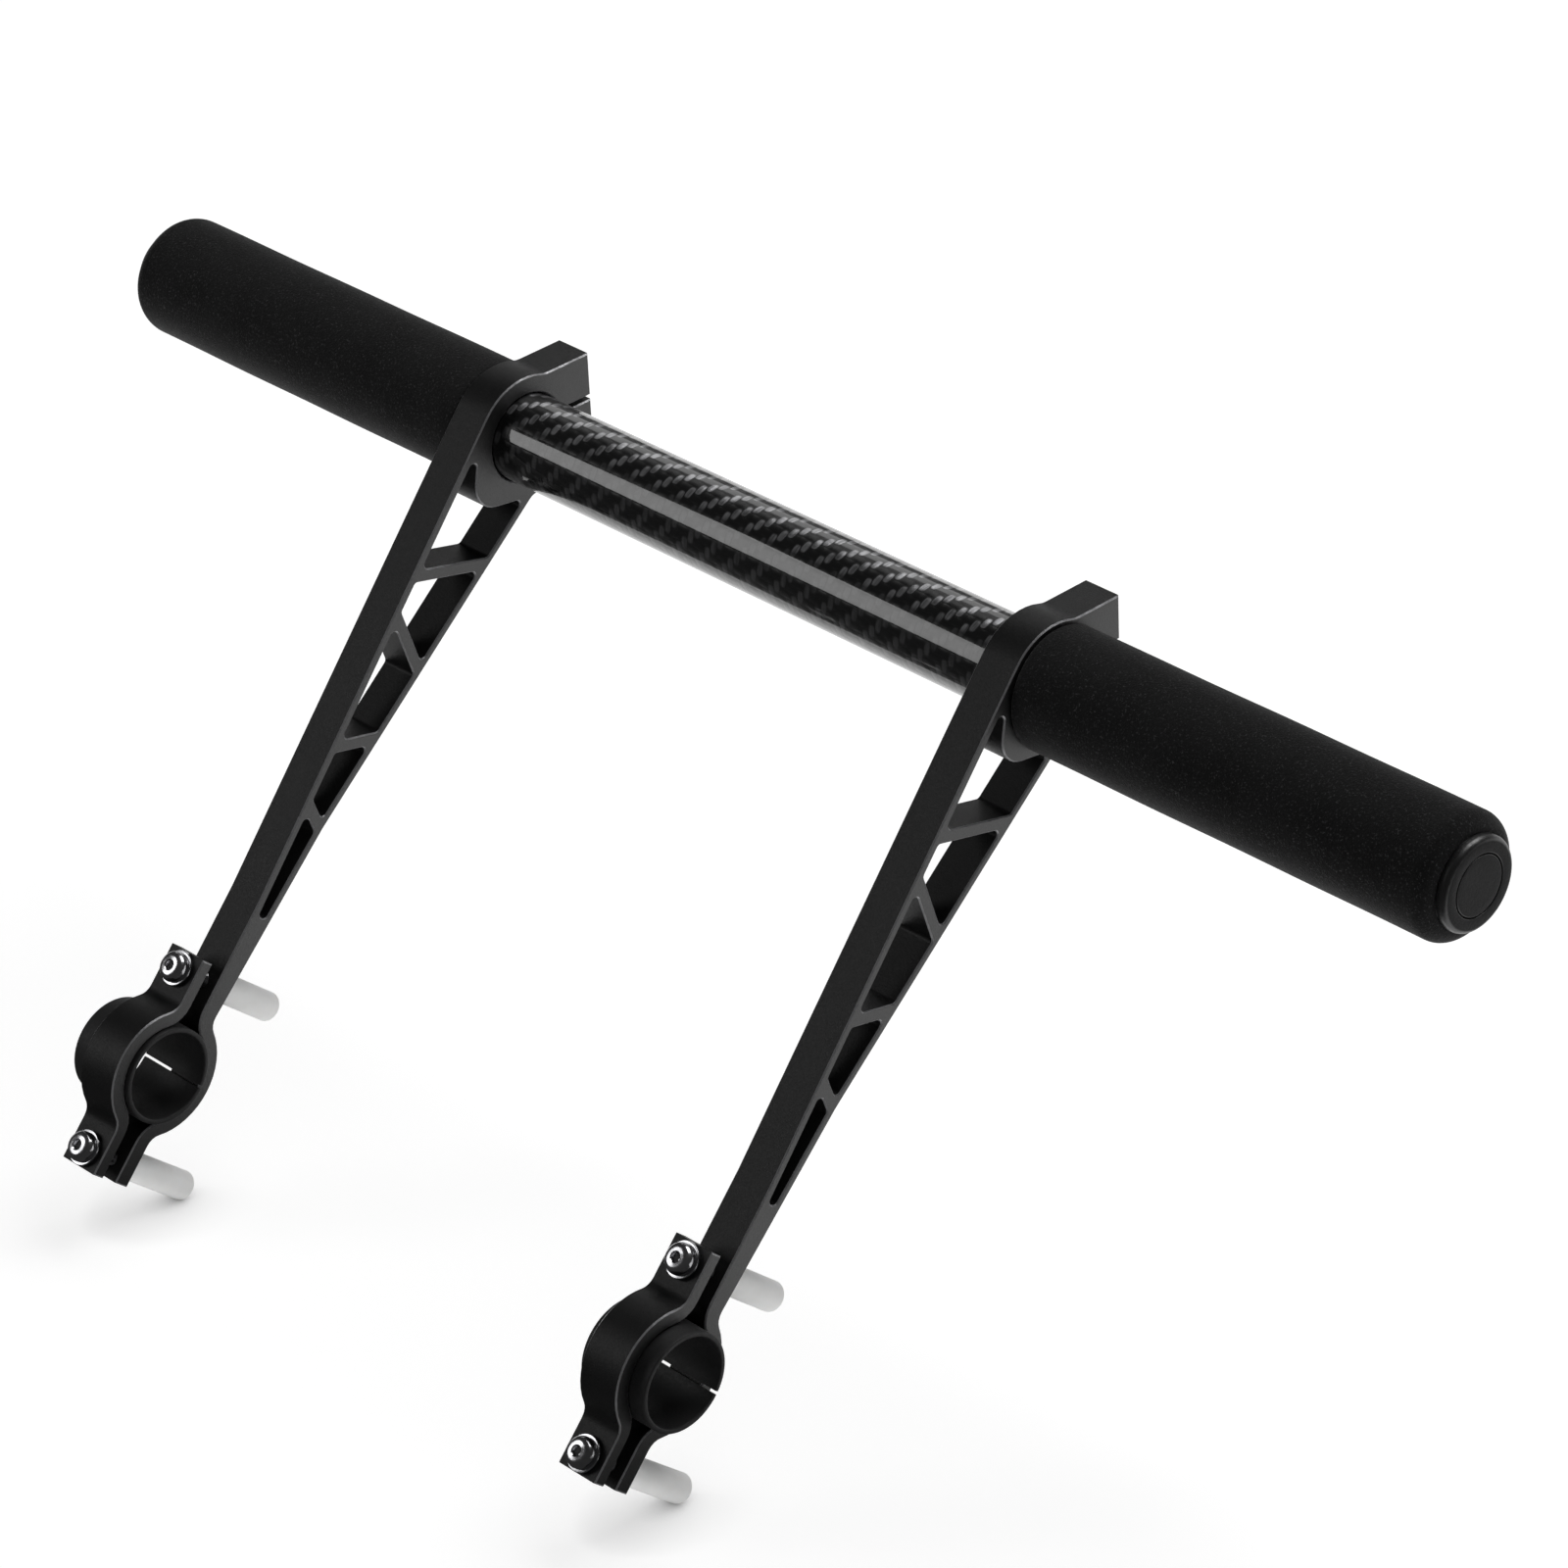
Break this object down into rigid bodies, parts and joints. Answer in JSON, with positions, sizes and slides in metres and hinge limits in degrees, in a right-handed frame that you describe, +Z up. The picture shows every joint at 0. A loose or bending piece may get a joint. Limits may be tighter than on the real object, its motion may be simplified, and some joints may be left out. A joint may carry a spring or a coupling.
{
  "type": "handlebar extender",
  "caption": "Clamp-on extender: a carbon cross tube with foam grips, held out from a handlebar by two milled truss arms with split clamps.",
  "frame": {"origin": "on the axis of the handlebar that the clamps hold, midway between the two arms", "axes": "+X along the cross tube, +Y forward away from the rider, +Z up"},
  "size_m": [0.4348, 0.1657, 0.184],
  "materials": {
    "carbon": "clear-coated twill carbon, glossy",
    "foam": "closed-cell foam, matte, fine grain",
    "anodised": "black anodised, bead blasted, satin",
    "shim": "matte rubber",
    "bolt": "polished",
    "nylon": "translucent white, satin",
    "plug": "moulded, fine matte"
  },
  "bodies": {
    "handlebar_seat": {"left_shim": "shim"},
    "bar": {"carbon_tube": "carbon", "left_grip": "foam", "right_grip": "foam", "left_end_plug": "plug", "right_end_plug": "plug", "left_plug_disc": "plug", "right_plug_disc": "plug"},
    "right_shim_seat": {"right_shim": "shim"},
    "left_bracket": {"left_arm": "anodised"},
    "left_cap": {"left_clamp_cap": "anodised", "left_upper_washer": "bolt", "left_lower_washer": "bolt"},
    "left_upper_screw": {"left_upper_bolt": "bolt"},
    "left_upper_cover": {"left_upper_thread_cap": "nylon"},
    "left_lower_screw": {"left_lower_bolt": "bolt"},
    "left_lower_cover": {"left_lower_thread_cap": "nylon"},
    "left_pinch_screw": {"left_pinch_bolt": "bolt"},
    "right_bracket": {"right_arm": "anodised"},
    "right_cap": {"right_clamp_cap": "anodised", "right_upper_washer": "bolt", "right_lower_washer": "bolt"},
    "right_upper_screw": {"right_upper_bolt": "bolt"},
    "right_upper_cover": {"right_upper_thread_cap": "nylon"},
    "right_lower_screw": {"right_lower_bolt": "bolt"},
    "right_lower_cover": {"right_lower_thread_cap": "nylon"},
    "right_pinch_screw": {"right_pinch_bolt": "bolt"}
  },
  "joints": [
    {"name": "arm_tilt", "type": "hinge", "parent": "handlebar_seat", "child": "left_bracket", "pos_m": [0, 0, 0], "axis": [1, 0, 0], "range_deg": [-50, 70]},
    {"name": "arm_spacing", "type": "slide", "parent": "left_bracket", "child": "right_bracket", "axis": [1, 0, 0], "range_m": [-0.07, 0]},
    {"name": "bar_turn", "type": "hinge", "parent": "left_bracket", "child": "bar", "pos_m": [0, 0.11979, 0.12811], "axis": [1, 0, 0], "continuous": true},
    {"name": "right_shim_turn", "type": "hinge", "parent": "right_bracket", "child": "right_shim_seat", "pos_m": [0, 0, 0], "axis": [1, 0, 0], "range_deg": [-70, 50]},
    {"name": "left_cap_slide", "type": "slide", "parent": "left_bracket", "child": "left_cap", "axis": [0, -0.7749, 0.632], "range_m": [0, 0.007]},
    {"name": "left_upper_bolt_turn", "type": "hinge", "parent": "left_cap", "child": "left_upper_screw", "pos_m": [-0.088, 0.01517, 0.0186], "axis": [0, -0.7749, 0.632], "range_deg": [0, 3700]},
    {"name": "left_upper_cover_pull", "type": "slide", "parent": "left_bracket", "child": "left_upper_cover", "axis": [0, 0.7749, -0.632], "range_m": [0, 0.02]},
    {"name": "left_lower_bolt_turn", "type": "hinge", "parent": "left_cap", "child": "left_lower_screw", "pos_m": [-0.088, -0.01517, -0.0186], "axis": [0, -0.7749, 0.632], "range_deg": [0, 3700]},
    {"name": "left_lower_cover_pull", "type": "slide", "parent": "left_bracket", "child": "left_lower_cover", "axis": [0, 0.7749, -0.632], "range_m": [0, 0.02]},
    {"name": "left_pinch_turn", "type": "hinge", "parent": "left_bracket", "child": "left_pinch_screw", "pos_m": [-0.088, 0.13582, 0.12903], "axis": [0, -0.0576, 0.9983], "continuous": true},
    {"name": "right_cap_slide", "type": "slide", "parent": "right_bracket", "child": "right_cap", "axis": [0, -0.7749, 0.632], "range_m": [0, 0.007]},
    {"name": "right_upper_bolt_turn", "type": "hinge", "parent": "right_cap", "child": "right_upper_screw", "pos_m": [0.088, 0.01517, 0.0186], "axis": [0, -0.7749, 0.632], "range_deg": [0, 3700]},
    {"name": "right_upper_cover_pull", "type": "slide", "parent": "right_bracket", "child": "right_upper_cover", "axis": [0, 0.7749, -0.632], "range_m": [0, 0.02]},
    {"name": "right_lower_bolt_turn", "type": "hinge", "parent": "right_cap", "child": "right_lower_screw", "pos_m": [0.088, -0.01517, -0.0186], "axis": [0, -0.7749, 0.632], "range_deg": [0, 3700]},
    {"name": "right_lower_cover_pull", "type": "slide", "parent": "right_bracket", "child": "right_lower_cover", "axis": [0, 0.7749, -0.632], "range_m": [0, 0.02]},
    {"name": "right_pinch_turn", "type": "hinge", "parent": "right_bracket", "child": "right_pinch_screw", "pos_m": [0.088, 0.13582, 0.12903], "axis": [0, -0.0576, 0.9983], "continuous": true}
  ],
  "couplings": [
    {"joint": "right_shim_turn", "follows": "arm_tilt", "ratio": -1},
    {"joint": "left_upper_bolt_turn", "follows": "left_cap_slide", "rad_per_m": 8976},
    {"joint": "left_lower_bolt_turn", "follows": "left_cap_slide", "rad_per_m": 8976},
    {"joint": "right_upper_bolt_turn", "follows": "right_cap_slide", "rad_per_m": 8976},
    {"joint": "right_lower_bolt_turn", "follows": "right_cap_slide", "rad_per_m": 8976}
  ]
}
